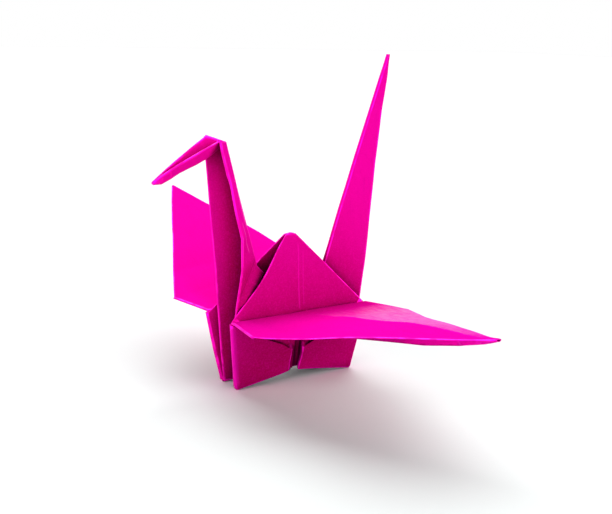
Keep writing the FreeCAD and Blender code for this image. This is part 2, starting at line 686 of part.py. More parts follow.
def build_whole_layers(sheet, side, ring):
    """Layers that run unbroken from the neck's end to the tail's: front and wing."""
    neck, tail = ring["whole", side.sign, -1], ring["whole", side.sign, 1]
    sheet.panel([neck["front_corner"], neck["front_hip"], tail["front_hip"],
                 tail["front_corner"]])
    sheet.panel([neck["front_corner"], tail["front_corner"], ring["front", side.sign, 1],
                 ring["front", side.sign, -1]])
    sheet.ribbon([ring["hinge", side.sign, -1], ring["hinge", side.sign, 1]])

    def with_middle(row, other):
        """Rows of three points: the two given ones, and the one halfway."""
        return [[a, sheet.point((sheet.points[a] + sheet.points[b]) / 2), b]
                for a, b in zip(row, other)]

    root = with_middle(neck["root"]["wing"], tail["root"]["wing"])
    wing = with_middle(neck["wing_edge"], tail["wing_edge"])
    sheet.panel([root[0][1], root[0][0], neck["wing_hip"], tail["wing_hip"], root[0][2]])
    sheet.ribbon(root)
    for outer in (0, 2):
        sheet.triangle(root[-1][outer], root[-1][1], wing[0][outer])
        sheet.triangle(root[-1][1], wing[0][1], wing[0][outer])
    sheet.ribbon(wing)


def close_peak(sheet, ring):
    """The rounded peak, where the middle of the sheet joins all its layers."""
    top = sheet.point(Vec(0, 0, PEAK_HEIGHT - CAP_TOP))
    loop = ring["ridge", -1, -1][::-1]
    loop += ring["spine", -1]
    loop += ring["ridge", 1, -1]
    loop += ring["ridge", 1, 1][::-1]
    loop += ring["spine", 1][::-1]
    loop += ring["ridge", -1, 1]
    for a, b in zip(loop, loop[1:] + loop[:1]):
        sheet.triangle(top, a, b)


def orient(triangles):
    """Turns every triangle the same way round, working outwards from the first."""
    edges = {}
    for t, tri in enumerate(triangles):
        for a, b in zip(tri, tri[1:] + tri[:1]):
            edges.setdefault((min(a, b), max(a, b)), []).append(t)
    result = [None] * len(triangles)
    result[0] = triangles[0]
    front = [0]
    while front:
        t = front.pop()
        tri = result[t]
        for a, b in zip(tri, tri[1:] + tri[:1]):
            for other in edges[min(a, b), max(a, b)]:
                if result[other] is None:
                    o = triangles[other]
                    same = (a, b) in zip(o, o[1:] + o[:1])
                    result[other] = o[::-1] if same else o
                    front.append(other)
    return result, edges


def thicken(sheet):
    """Closed surface of the paper: both faces, and a band round the sheet's raw edge.

    Each point moves half the thickness along the mean direction of the faces around it,
    weighted by how wide an angle each of them has there.
    """
    triangles, edges = orient(sheet.triangles)
    normals = [Vec(0, 0, 0) for _ in sheet.points]
    for tri in triangles:
        for i, j, k in (tri, tri[1:] + tri[:1], tri[2:] + tri[:2]):
            to_next = (sheet.points[j] - sheet.points[i]).normalize()
            to_last = (sheet.points[k] - sheet.points[i]).normalize()
            normals[i] += to_next.cross(to_last)
    count = len(sheet.points)
    points = [p + n.normalize() * (PAPER / 2) for p, n in zip(sheet.points, normals)]
    points += [p - n * (PAPER / 2) for p, n in zip(sheet.points, normals)]
    faces = list(triangles) + [tuple(i + count for i in tri[::-1]) for tri in triangles]
    for tri in triangles:
        for a, b in zip(tri, tri[1:] + tri[:1]):
            if len(edges[min(a, b), max(a, b)]) == 1:
                faces.append((b, a, a + count))
                faces.append((b, a + count, b + count))
    return points, faces


def make_solid(points, faces):
    """One solid from a closed surface of triangles."""
    shape = Part.Shape()
    shape.makeShapeFromMesh((points, faces), SEWING, False)
    solid = Part.Solid(Part.Shell(shape.Faces))
    if solid.Volume < 0:
        solid.reverse()
    return solid


def main():
    """Writes the crane, with its lowest corners on the ground."""
    os.makedirs("parts", exist_ok=True)
    points, faces = thicken(build_crane())
    low = min(p.z for p in points)
    points = [p + DOWN * low for p in points]
    solid = make_solid(points, faces)
    solid.exportStep("parts/folded_crane.step")
    print("folded_crane", len(faces), "faces", round(solid.Volume, 1), "mm3", solid.BoundBox)


if __name__ == "__main__":
    main()
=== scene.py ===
"""Looks of the folded paper crane: magenta paper, on a pale floor in soft light.

Metres, in the frame of the CAD part: the neck points to -X, the tail to +X, the near wing to
-Y and the far wing to +Y, and the crane stands on z = 0.
"""

import heapq
import math

import bmesh
import bpy
from mathutils import Matrix, Vector, noise


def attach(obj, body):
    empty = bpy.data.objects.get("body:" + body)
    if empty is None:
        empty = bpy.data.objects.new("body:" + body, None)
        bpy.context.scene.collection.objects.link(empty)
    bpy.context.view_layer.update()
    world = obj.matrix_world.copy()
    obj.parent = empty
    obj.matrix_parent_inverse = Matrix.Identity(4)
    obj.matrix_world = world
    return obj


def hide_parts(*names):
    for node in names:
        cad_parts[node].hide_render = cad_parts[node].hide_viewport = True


NODE = "folded_crane"
SLOT = "magenta_paper"
MM = 0.001
WHITE = (1, 1, 1, 1)

# ---- Camera ----------------------------------------------------------------------------------
AIM = Vector((3.2, -2.1, 28.2)) * MM        # the camera looks at this point
AZIMUTH = math.radians(-33.7)
ELEVATION = math.radians(13.1)
ROLL = math.radians(1.45)
DISTANCE = 221.6 * MM
LENS = 57.3                                 # mm, on a 36 mm sensor
NEAREST_SEEN = 10 * MM                      # nothing nearer to the camera is drawn

# ---- Light -----------------------------------------------------------------------------------
SKY = 0.06                                  # dome light that falls on the object
# Soft lamps far away: name, where from (turned from +X towards +Y, and raised), strength,
# and how wide the lamp looks, all angles in degrees.
LAMPS = (
    ("back softbox", 62, 48, 3.7, 70),
    ("right softbox", 312, 14, 1.9, 60),
    ("left softbox", 188, 12, 3.1, 60),
    ("front fill", 245, 4, 0.8, 60),
)
FLOOR_SIZE = 6.0
FLOOR_BOUNCE = 0.55                         # how much light the floor gives back
FLOOR_SEEN = (0.82, 0.86, 0.85, 1.0)        # for the camera; a little cool, against pink light

# ---- Mesh ------------------------------------------------------------------------------------
SAME_POINT = 1e-7                           # points this close are one
LONGEST_EDGE = 1.8 * MM
FOLD_ANGLE = math.radians(22)               # edges with more than this are folds
RAW_ANGLE = math.radians(75)                # and from here the paper's own cut edge
FAR_FROM_FOLD = 3 * MM                      # distances to a fold stop here
FLATNESS = 80                               # how much more large faces count in the shading

# ---- Wings -----------------------------------------------------------------------------------
BODY_HALF = 7 * MM                          # the wings start this far from the middle plane
WING_TIP = 66 * MM                          # and end this far from it
WING_HALF_WIDTH = 20 * MM
WING_WIDEST = 18 * MM                       # from here a wing narrows to its tip
NARROWEST = 0.05                            # but not below this share of its width
WING_SWEEP = 0.0175                         # the middle of a wing drifts this much to the tail
WING_RISE = 0.164                           # the near wing climbs this much towards its tip
NEAR_CREST = 1.45 * MM                      # how far the middle of each wing stands up
FAR_CREST = 0.6 * MM
CREST_FULL = 25 * MM                        # it does so from here
CREST_FADE = 0.35 * WING_TIP                # and less over this length at the tip
WING_DROOP = 0.9 * MM                       # the near wing's edge on the neck's side hangs
DROOP_FROM = 0.3                            # from this share of the way to the edge
DROOP_FULL = 3 * BODY_HALF                  # it sets in from the body to here
DROOP_FADE = WING_WIDEST                    # and gets less from here
DROOP_END = 0.7 * WING_TIP                  # to here
TIP_FROM = 60 * MM                          # the near wing's tip is rolled from here
TIP_BLUNT = 0.75 * MM                       # half width of the rolled tip
TIP_SHARP = 0.5 * MM                        # and of the crisp one
TIP_ROLL = 0.5                              # how much thicker it is
TIP_HEIGHT = 26.9 * MM                      # above the ground

# ---- Outer flaps under the wings, and the slit between them ----------------------------------
PANEL_FOOT = 3.78 * MM                      # the lower panels' faces, from the middle plane
PANEL_LEAN = 0.148                          # and how much they lean outwards
FLAP_CORNER = Vector((1.02, 0, 9.09)) * MM  # where a flap's slit edge meets its slanted edge
FLAP_SLANT = 0.42                           # rise of the slanted edge
FLAP_DEPTH = 0.27 * MM                      # the two layers that end at the slanted edge
SLIT_DEPTH = 0.6 * MM                       # and all those that end at the slit
FLAP_DROP = 1.0 * MM                        # the slanted edges sag
FLAP_CURL = 0.35 * MM                       # and spring outwards
FLAP_REACH = 4.5 * MM                       # up to this far from their edges
SAG_FROM = 1 * MM                           # the sag starts at this height
SAG_FADE = 7 * MM                           # and gets less from here along the edge
SAG_END = 14 * MM
SLIT_SPREAD = 1.2 * MM                      # the slit has opened towards the neck
SLIT_LEAN = 0.5 * MM                        # and its foot on the tail's side has followed
SLIT_LOW = 2 * MM                           # both are full from here, and none on the ground
SLIT_FOOT = 0.8 * FLAP_CORNER.z             # the foot ends at this height

# ---- Near ridge of the body, from the foot of the neck to the peak ---------------------------
RIDGE_FOOT = Vector((-18.0, 0, 16)) * MM
RIDGE_TOP = Vector((-1.0, 0, 33)) * MM
RIDGE_SAG = 1.2 * MM                        # it is hollow by this much half-way up
RIDGE_REACH = 10 * MM                       # and the face beside it, over this width
RIDGE_ONSET = (-1.1 * MM, -0.6 * MM)        # the neck's pleats, beyond this, stay
RIDGE_LAYERS = (-0.3 * MM, 2.0 * MM)        # depths of its layers, below the face
PEAK_FACE = 5.27 * MM                       # the body's near face at the height of RIDGE_FOOT
PEAK_SLOPE = 0.271                          # and how much it leans inwards

# ---- Neck and tail ---------------------------------------------------------------------------
NECK_PINCH = 0.75 * MM                      # the neck's open edge draws in half-way up
NECK_EDGE = (1.8 * MM, 4.2 * MM)            # it sets in between these distances from the middle
NECK_OPEN_LOW = 40 * MM
NECK_OPEN_HIGH = 55 * MM
NECK_FRONT = -14 * MM                       # the body lies behind this
TAIL_TOP = Vector((25.9, 0, 73.5)) * MM
TAIL_LEAN = 0.285                           # how much its middle line leans away from the body
TAIL_PINCH = 0.5                            # the very tip of the tail is squeezed thin
TAIL_PINCH_FROM = 68 * MM                   # from this height

# ---- Unevenness of the paper -----------------------------------------------------------------
RIPPLES = ((0.10 * MM, 9 * MM), (0.25 * MM, 30 * MM))   # height and length
RIPPLES_FROM = 1 * MM                       # below this height the paper stays where it is
RIPPLES_FULL = 8 * MM                       # and from here it is uneven in full
# Where in the noise the shifts along X, Y and Z are taken from
PHASES = (Vector((3.7, 1.3, 9.2)), Vector((8.1, 5.6, 2.4)), Vector((0.9, 7.3, 4.8)))

# ---- Colours of the paper and of painted light and shade, linear -----------------------------
PAPER_COLOUR = (0.86, 0.001, 0.345, 1)
SHADED = (0.40, 0.0005, 0.075, 1)           # painted shade, where other parts of the crane stand close
CLOUDED = (0.80, 0.001, 0.33, 1)            # in large soft spots
FIBROUS = (0.60, 0.0006, 0.22, 1)           # along the fibres
BRIGHT = (1.0, 0.004, 0.52, 1)              # on the grain, and along outward folds as wear and painted highlight
SUNKEN = (0.30, 0.0004, 0.08, 1)            # painted shade along inward folds
CREVICED = (0.05, 0.0002, 0.018, 1)         # painted shade, deep between the layers
BEHIND = (0.03, 0.0002, 0.012, 1)           # painted shade behind the outer flaps
SHEEN = (1.0, 0.01, 0.9, 1)

# ---- Patterns of the paper: how many to a metre, detail, stretch and roughness ---------------
CLOUDS = dict(scale=120, detail=3)
WEAR = dict(scale=420, detail=3)
FIBRES = dict(scale=900, detail=4, stretch=(1, 0.2, 0.35), roughness=0.65)
STREAKS = dict(scale=1200, detail=4, stretch=(1, 0.2, 1), roughness=0.8)
LAYERS = dict(scale=1900, detail=1, stretch=(1, 0, 0.05))   # stripes in the painted shade of the slit, for the edges of layers
GRAIN = dict(scale=2600, detail=3, roughness=0.65)

# ---- Ranges: from one value to another and, where they aren't 0 and 1, what that gives -------
CLOUD_RANGE = (0.3, 0.7, 0.0, 0.12)
FIBRE_RANGE = (0.5, 0.8, 0.0, 0.3)
GRAIN_RANGE = (0.4, 0.75, 0.0, 0.25)
WEAR_RANGE = (0.35, 0.6)
STREAK_RANGE = (0.4, 0.62, 0.1, 1.0)
LAYER_RANGE = (0.42, 0.6, 0.92, 0.5)
OPEN_RANGE = (0.42, 1.03)                   # shelter over SHADE_REACH, from painted shade to open
CREVICE_RANGE = (0.1, 0.7, 0.92, 0.0)       # shelter over CREVICE_REACH
RUB_AND_HIGHLIGHT_RANGE = (0.0, 0.28 * MM, 1.0, 0.0)   # distance from an outward fold
SUNKEN_RANGE = (0.0, 0.25 * MM, 0.6, 0.0)   # and from an inward one
SHADE_REACH = 30 * MM
CREVICE_REACH = 6 * MM
SHELTER_SAMPLES = 8

# ---- Wear, painted highlight and gloss -------------------------------------------------------
LEAST_RUB_AND_HIGHLIGHT = 0.4                            # how much folds are rubbed and highlit between worn patches
SHELTERED_RUB_AND_HIGHLIGHT = 0.2                        # share of that wear and painted highlight behind the outer flaps
# Metallic gloss on folds, for a painted glint on their wear and highlight
RUB_AND_HIGHLIGHT_GLOSS = 0.8
BRUSHED_GLOSS = 0.36                        # the tail's half of the near wing is brushed
BRUSHED_FROM = (0.0, 0.5 * MM)              # past the wing's middle
BRUSHED_INNER = (-22 * MM, -10 * MM)        # not near the body
BRUSHED_OUTER = (-64 * MM, -34 * MM)        # and less towards the tip
ROUGHNESS = 0.55
SHEEN_WEIGHT = 0.1
SHEEN_ROUGHNESS = 0.5
GRAIN_RELIEF = 0.02 * MM
FIBRE_RELIEF = 0.04 * MM

# ---- Neck and head: painted light, less of the painted shade there ---------------------------
# Painted glow: lightens the painted shade in the neck and head
NECK_GLOW = 0.14
IN_NECK = (-17 * MM, -13 * MM)              # along X, from inside it to outside
IN_HEAD = (-22 * MM, -20 * MM)
NECK_CREVICES = 0.5                         # how dark the painted crevice shade is there, against elsewhere

# ---- Behind the outer flaps: painted shade, and less painted highlight on folds --------------
BEHIND_FACE = (0.10 * MM, 0.16 * MM)        # below the panel's outer face
BESIDE_SLIT = (0.6 * MM, 1.3 * MM)          # from the slit's middle
ABOVE_SLIT = (9.5 * MM, 12 * MM)            # above the ground
ABOVE_EDGE = (0.1 * MM, 0.8 * MM)           # above the slanted edges; below them shade is painted dark
DARK_END = (9 * MM, 13 * MM)                # from the slit's middle
SHELTER_TOP = (12.5 * MM, 14 * MM)          # above the ground; below it folds are less rubbed and less highlit
SHELTER_END = (10 * MM, 13 * MM)            # from the slit's middle, likewise

# ---- Lines of painted light and shade along creases ------------------------------------------
# In side view: from (x, z) to (x, z), on which side of the body (-1 is the near one), half
# width, strength, gloss and colour; in mm.
# Painted highlight
PALE = (1.0, 0.004, 0.50, 1)
# Painted pink sheen, glinting with metallic gloss
PAINTED_SHEEN = (1.0, 0.09, 0.62, 1)
# Painted shade along a crease
DEEP = (0.40, 0.0005, 0.12, 1)
PAINTED_LINES = (
    ((1.5, 32.0), (-0.1, 16.6), -1, 0.30, 0.55, 0.0, PALE),
    ((2.6, 30.0), (1.1, 17.0), -1, 0.22, 0.3, 0.0, PALE),
    ((-17.9, 53.0), (-13.7, 36.0), -1, 0.22, 0.5, 0.0, DEEP),
    ((-16.3, 55.0), (-12.0, 36.0), -1, 0.35, 0.8, 0.8, PAINTED_SHEEN),
    ((-18.0, 16.5), (-15.4, 0.2), -1, 0.9, 0.8, 0.9, PALE),
    ((-14.6, 38.5), (-11.6, 30.5), -1, 0.2, 0.5, 0.3, PAINTED_SHEEN),
)
LINE_FADE = 0.12                            # share of a line's length that fades, at each end
LINE_SIDE = (0.8 * MM, 1.2 * MM)            # lines stay this far from the middle plane


def refined(node):
    """A copy of the CAD solid's mesh, with faces small enough to curve."""
    mesh = bmesh.new()
    mesh.from_mesh(node.data)
    bmesh.ops.remove_doubles(mesh, verts=mesh.verts, dist=SAME_POINT)
    for side in (1, -1):
        wing = [face for face in mesh.faces if face.calc_center_median().y * side > BODY_HALF]
        edges = {edge for face in wing for edge in face.edges}
        corners = {vert for face in wing for vert in face.verts}
        bmesh.ops.bisect_plane(mesh, geom=wing + list(edges) + list(corners), dist=SAME_POINT,
                               plane_co=(0, 0, 0), plane_no=(1, -WING_SWEEP * side, 0))
    bmesh.ops.triangulate(mesh, faces=mesh.faces, quad_method="SHORT_EDGE")
    while True:
        long_edges = [edge for edge in mesh.edges if edge.calc_length() > LONGEST_EDGE]
        if not long_edges:
            break
        bmesh.ops.subdivide_edges(mesh, edges=long_edges, cuts=1)
        cut_faces = [face for face in mesh.faces if len(face.verts) > 3]
        bmesh.ops.triangulate(mesh, faces=cut_faces, quad_method="SHORT_EDGE")
    return mesh


def along_surface(seeds):
    """Distance over the surface from each vertex to the nearest seed, up to a limit."""
    found = {}
    queue = [(0.0, vert.index, vert) for vert in seeds]
    heapq.heapify(queue)
    while queue:
        far, index, vert = heapq.heappop(queue)
        if index in found:
            continue
        found[index] = far
        for edge in vert.link_edges:
            other = edge.other_vert(vert)
            reach = far + edge.calc_length()
            if other.index not in found and reach < FAR_FROM_FOLD:
                heapq.heappush(queue, (reach, other.index, other))
    return found


def mark_folds(mesh):
    """Attributes: distances to outward and to inward folds, and the place before settling."""
    ridge_distance = mesh.verts.layers.float.new("ridge_distance")
    valley_distance = mesh.verts.layers.float.new("valley_distance")
    flat_place = mesh.verts.layers.float_vector.new("flat_place")
    mesh.verts.index_update()
    ridges = set()
    valleys = set()
    for edge in mesh.edges:
        angle = edge.calc_face_angle(0.0)
        if FOLD_ANGLE < angle < RAW_ANGLE:
            (ridges if edge.is_convex else valleys).update(edge.verts)
    for layer, seeds in ((ridge_distance, ridges), (valley_distance, valleys)):
        found = along_surface(seeds)
        for vert in mesh.verts:
            vert[layer] = found.get(vert.index, FAR_FROM_FOLD)
    for vert in mesh.verts:
        vert[flat_place] = vert.co


def share(value, start, end):
    """How far value is on the way from start to end: 0 before start, 1 past end."""
    return min(1.0, max(0.0, (value - start) / (end - start)))


def eased(value, start, end):
    """0 before start, 1 past end, smooth between."""
    way = share(value, start, end)
    return way * way * (3 - 2 * way)


def bell(value, start, end):
    """0 at start and end, 1 half-way."""
    middle = (start + end) / 2
    return eased(value, start, middle) * (1 - eased(value, middle, end))


def wing_crest(x, y):
    """How far a wing's surface rises towards the old crease down its middle."""
    out = abs(y)
    narrowing = (WING_TIP - out) / (WING_TIP - WING_WIDEST)
    half_width = WING_HALF_WIDTH * min(1.0, max(NARROWEST, narrowing))
    inward = max(0.0, 1 - abs(x - WING_SWEEP * out) / half_width)
    height = NEAR_CREST if y < 0 else FAR_CREST
    along = eased(out, BODY_HALF, CREST_FULL) * eased(WING_TIP - out, 0, CREST_FADE)
    rise = height * inward * along
    if y < 0 and x < WING_SWEEP * out:
        hanging = eased(1 - inward, DROOP_FROM, 1) * share(out, BODY_HALF, DROOP_FULL)
        rise -= WING_DROOP * hanging * (1 - eased(out, DROOP_FADE, DROOP_END))
    return rise


def flap_shift(x, y, z):
    """The outer flaps under the wings have sprung open a little along the slit."""
    depth = PANEL_FOOT + PANEL_LEAN * z - abs(y)
    across = abs(x) - FLAP_CORNER.x
    below = FLAP_CORNER.z + FLAP_SLANT * across - z
    shift = Vector((0, 0, 0))
    if abs(depth) > SLIT_DEPTH or across > SAG_END:
        return shift
    opened = 1 - eased(across, 0, FLAP_REACH)
    opened *= 1 - eased(z, FLAP_CORNER.z, FLAP_CORNER.z + FLAP_REACH)
    opened *= eased(z, 0, SLIT_LOW)
    if x < 0:
        shift.x = -SLIT_SPREAD * opened
    else:
        shift.x = -SLIT_LEAN * opened * (1 - eased(z, SLIT_LOW, SLIT_FOOT))
    if abs(depth) < FLAP_DEPTH and below > -FLAP_DEPTH:
        slack = eased(z, SAG_FROM, FLAP_CORNER.z) * (1 - eased(across, SAG_FADE, SAG_END))
        free_edge = max(0.0, 1 - max(0.0, below) / FLAP_REACH)
        shift.y = math.copysign(FLAP_CURL * free_edge * slack, y)
        shift.z = -FLAP_DROP * slack
    return shift


def ridge_shift(x, y, z):
    """How far the near ridge that faces the neck, and the face beside it, bend inwards."""
    along = (z - RIDGE_FOOT.z) / (RIDGE_TOP.z - RIDGE_FOOT.z)
    depth = PEAK_FACE - PEAK_SLOPE * (z - RIDGE_FOOT.z) + y
    outermost, innermost = RIDGE_LAYERS
    if y > 0 or not 0 < along < 1 or not outermost <= depth <= innermost:
        return 0.0
    inward = x - (RIDGE_FOOT.x + along * (RIDGE_TOP.x - RIDGE_FOOT.x))
    bent = eased(inward, *RIDGE_ONSET) * (1 - eased(inward, 0, RIDGE_REACH))
    return RIDGE_SAG * bent * bell(z, RIDGE_FOOT.z, RIDGE_TOP.z)


def tip_shift(x, y, z):
    """The near wing's tip is rolled: blunt and thicker."""
    if y > -TIP_FROM:
        return Vector((0, 0, 0))
    rolled = eased(-y, TIP_FROM, WING_TIP)
    half_width = max(TIP_SHARP, WING_HALF_WIDTH * (WING_TIP + y) / (WING_TIP - WING_WIDEST))
    wider = math.hypot(half_width, TIP_BLUNT * rolled) / half_width - 1
    offset = x + WING_SWEEP * y
    middle = TIP_HEIGHT - WING_RISE * (WING_TIP + y)
    return Vector((offset * wider, 0, (z - middle) * TIP_ROLL * rolled))


def neck_shift(x, y, z):
    """The neck's open near edge draws in."""
    if y > 0 or z < NECK_OPEN_LOW or x > NECK_FRONT:
        return 0.0
    return NECK_PINCH * eased(-y, *NECK_EDGE) * bell(z, NECK_OPEN_LOW, NECK_OPEN_HIGH)


def tail_shift(x, z):
    """The tip of the tail is squeezed towards its own middle."""
    if x < BODY_HALF:
        return 0.0
    middle = TAIL_TOP.x - TAIL_LEAN * (TAIL_TOP.z - z)
    return (middle - x) * TAIL_PINCH * eased(z, TAIL_PINCH_FROM, TAIL_TOP.z)


def settled(place):
    """Where a point of the crisp CAD surface lies in real, slightly slack paper.

    Each shift fades out smoothly along the paper. Those that move only some of the layers
    tell them by their depth below the outer face.
    """
    x, y, z = place
    shift = Vector((0, 0, wing_crest(x, y)))
    shift += flap_shift(x, y, z)
    shift += tip_shift(x, y, z)
    shift.x += ridge_shift(x, y, z)
    lifted = eased(z, RIPPLES_FROM, RIPPLES_FULL)
    for height, length in RIPPLES:
        swing = Vector([noise.noise(place / length + phase) for phase in PHASES])
        shift += swing * (height * lifted)
    shift.x += neck_shift(x, y, z)
    shift.x += tail_shift(x, z)
    return place + shift


def finished_object(mesh, name, material):
    """The mesh as an object with smooth shading, but flat panels and crisp cut edges."""
    data = bpy.data.meshes.new(name)
    mesh.to_mesh(data)
    mesh.free()
    data.materials.append(material)
    data.shade_smooth()
    data.set_sharp_from_angle(angle=RAW_ANGLE)
    piece = bpy.data.objects.new(name, data)
    bpy.context.scene.collection.objects.link(piece)
    weighted = piece.modifiers.new("flat panels", "WEIGHTED_NORMAL")
    weighted.keep_sharp = True
    weighted.weight = FLATNESS
    return piece


class Nodes:
    """Short calls for building the nodes of a material or of the world."""

    def __init__(self, owner, shader):
        owner.use_nodes = True
        self.tree = owner.node_tree
        self.shader = self.tree.nodes[shader]

    def link(self, source, target):
        self.tree.links.new(source, target)

    def feed(self, socket, value):
        """Gives a socket a value, or links it to the output that is given."""
        if isinstance(value, bpy.types.NodeSocket):
            self.link(value, socket)
        else:
            socket.default_value = value

    def noise(self, scale, detail, stretch=(1, 1, 1), roughness=0.5):
        """A random pattern from 0 to 1, fixed to the object."""
        coords = self.tree.nodes.new("ShaderNodeTexCoord")
        mapping = self.tree.nodes.new("ShaderNodeMapping")
        node = self.tree.nodes.new("ShaderNodeTexNoise")
        self.feed(mapping.inputs["Vector"], coords.outputs["Object"])
        self.feed(mapping.inputs["Scale"], stretch)
        self.feed(node.inputs["Vector"], mapping.outputs["Vector"])
        self.feed(node.inputs["Scale"], scale)
        self.feed(node.inputs["Detail"], detail)
        self.feed(node.inputs["Roughness"], roughness)
        return node.outputs["Fac"]

    def attribute(self, name):
        node = self.tree.nodes.new("ShaderNodeAttribute")
        node.attribute_name = name
        return node.outputs

    def flat_place(self):
        """Where a point of the paper lay before it settled, as X, Y and Z."""
        node = self.tree.nodes.new("ShaderNodeSeparateXYZ")
        self.link(self.attribute("flat_place")["Vector"], node.inputs["Vector"])
        return node.outputs

    def ramp(self, value, low, high, start=0.0, end=1.0):
        """Maps low..high smoothly to start..end, and holds past both ends."""
        node = self.tree.nodes.new("ShaderNodeMapRange")
        node.interpolation_type = "SMOOTHSTEP"
        self.feed(node.inputs["Value"], value)
        self.feed(node.inputs["From Min"], low)
        self.feed(node.inputs["From Max"], high)
        self.feed(node.inputs["To Min"], start)
        self.feed(node.inputs["To Max"], end)
        return node.outputs["Result"]

    def fade(self, value, low, high):
        """1 up to low and 0 past high."""
        return self.ramp(value, low, high, 1.0, 0.0)

    def math(self, operation, *values):
        node = self.tree.nodes.new("ShaderNodeMath")
        node.operation = operation
        for socket, value in zip(node.inputs, values):
            self.feed(socket, value)
        return node.outputs["Value"]

    def product(self, *values):
        result = values[0]
        for value in values[1:]:
            result = self.math("MULTIPLY", result, value)
        return result

    def blend(self, factor, a, b):
        """Colour a where the factor is 0, and b where it is 1."""
        node = self.tree.nodes.new("ShaderNodeMix")
        node.data_type = "RGBA"
        self.feed(node.inputs["Factor"], factor)
        self.feed(node.inputs["A"], a)
        self.feed(node.inputs["B"], b)
        return node.outputs["Result"]

    def shelter(self, reach):
        """1 in the open, towards 0 deep between the layers."""
        node = self.tree.nodes.new("ShaderNodeAmbientOcclusion")
        node.samples = SHELTER_SAMPLES
        self.feed(node.inputs["Distance"], reach)
        return node.outputs["AO"]

    def bump(self, height, distance, below=None):
        """Relief, laid over the relief below it if there is one."""
        node = self.tree.nodes.new("ShaderNodeBump")
        self.feed(node.inputs["Distance"], distance)
        self.feed(node.inputs["Strength"], 1.0)
        self.feed(node.inputs["Height"], height)
        if below:
            self.feed(node.inputs["Normal"], below)
        return node.outputs["Normal"]


def painted_line(nodes, place, start, end, side, half_width):
    """1 along a line given in side view (x and z), on one side of the body, else 0."""
    run = end - start
    along = run.normalized()
    across = Vector((along.y, -along.x))
    measured = []
    for direction in (across, along):
        upwards = nodes.math("MULTIPLY_ADD", place["Z"], direction.y, -direction.dot(start))
        measured.append(nodes.math("MULTIPLY_ADD", place["X"], direction.x, upwards))
    aside, travelled = measured
    fading = LINE_FADE * run.length
    return nodes.product(nodes.fade(nodes.math("ABSOLUTE", aside), 0.0, half_width),
                         nodes.ramp(travelled, 0.0, fading),
                         nodes.fade(travelled, run.length - fading, run.length),
                         nodes.ramp(nodes.math("MULTIPLY", place["Y"], side), *LINE_SIDE))


def under_flaps(nodes, place):
    """Masks behind the outer flaps: 1 where shade is painted dark, and 1 where it is sheltered.
    """
    sideways = nodes.math("ABSOLUTE", place["X"])
    face = nodes.math("MULTIPLY_ADD", place["Z"], PANEL_LEAN, PANEL_FOOT)
    depth = nodes.math("SUBTRACT", face, nodes.math("ABSOLUTE", place["Y"]))
    edge_foot = FLAP_CORNER.z - FLAP_DROP - FLAP_SLANT * FLAP_CORNER.x
    edge = nodes.math("MULTIPLY_ADD", sideways, FLAP_SLANT, edge_foot)
    below = nodes.fade(nodes.math("SUBTRACT", place["Z"], edge), *ABOVE_EDGE)
    behind = nodes.ramp(depth, *BEHIND_FACE)
    in_slit = nodes.product(nodes.fade(sideways, *BESIDE_SLIT),
                            nodes.fade(place["Z"], *ABOVE_SLIT))
    dark = nodes.product(nodes.math("MAXIMUM", in_slit, below),
                         behind,
                         nodes.fade(sideways, *DARK_END),
                         nodes.ramp(nodes.noise(**LAYERS), *LAYER_RANGE))
    sheltered = nodes.product(behind,
                              nodes.fade(place["Z"], *SHELTER_TOP),
                              nodes.fade(sideways, *SHELTER_END))
    return dark, sheltered


def brushed_wing(nodes, place):
    """1 where the tail's half of the near wing is brushed to a gloss, in streaks."""
    past_middle = nodes.math("MULTIPLY_ADD", place["Y"], WING_SWEEP, place["X"])
    return nodes.product(nodes.ramp(past_middle, *BRUSHED_FROM),
                         nodes.ramp(nodes.noise(**STREAKS), *STREAK_RANGE),
                         nodes.fade(place["Y"], *BRUSHED_INNER),
                         nodes.ramp(place["Y"], *BRUSHED_OUTER))


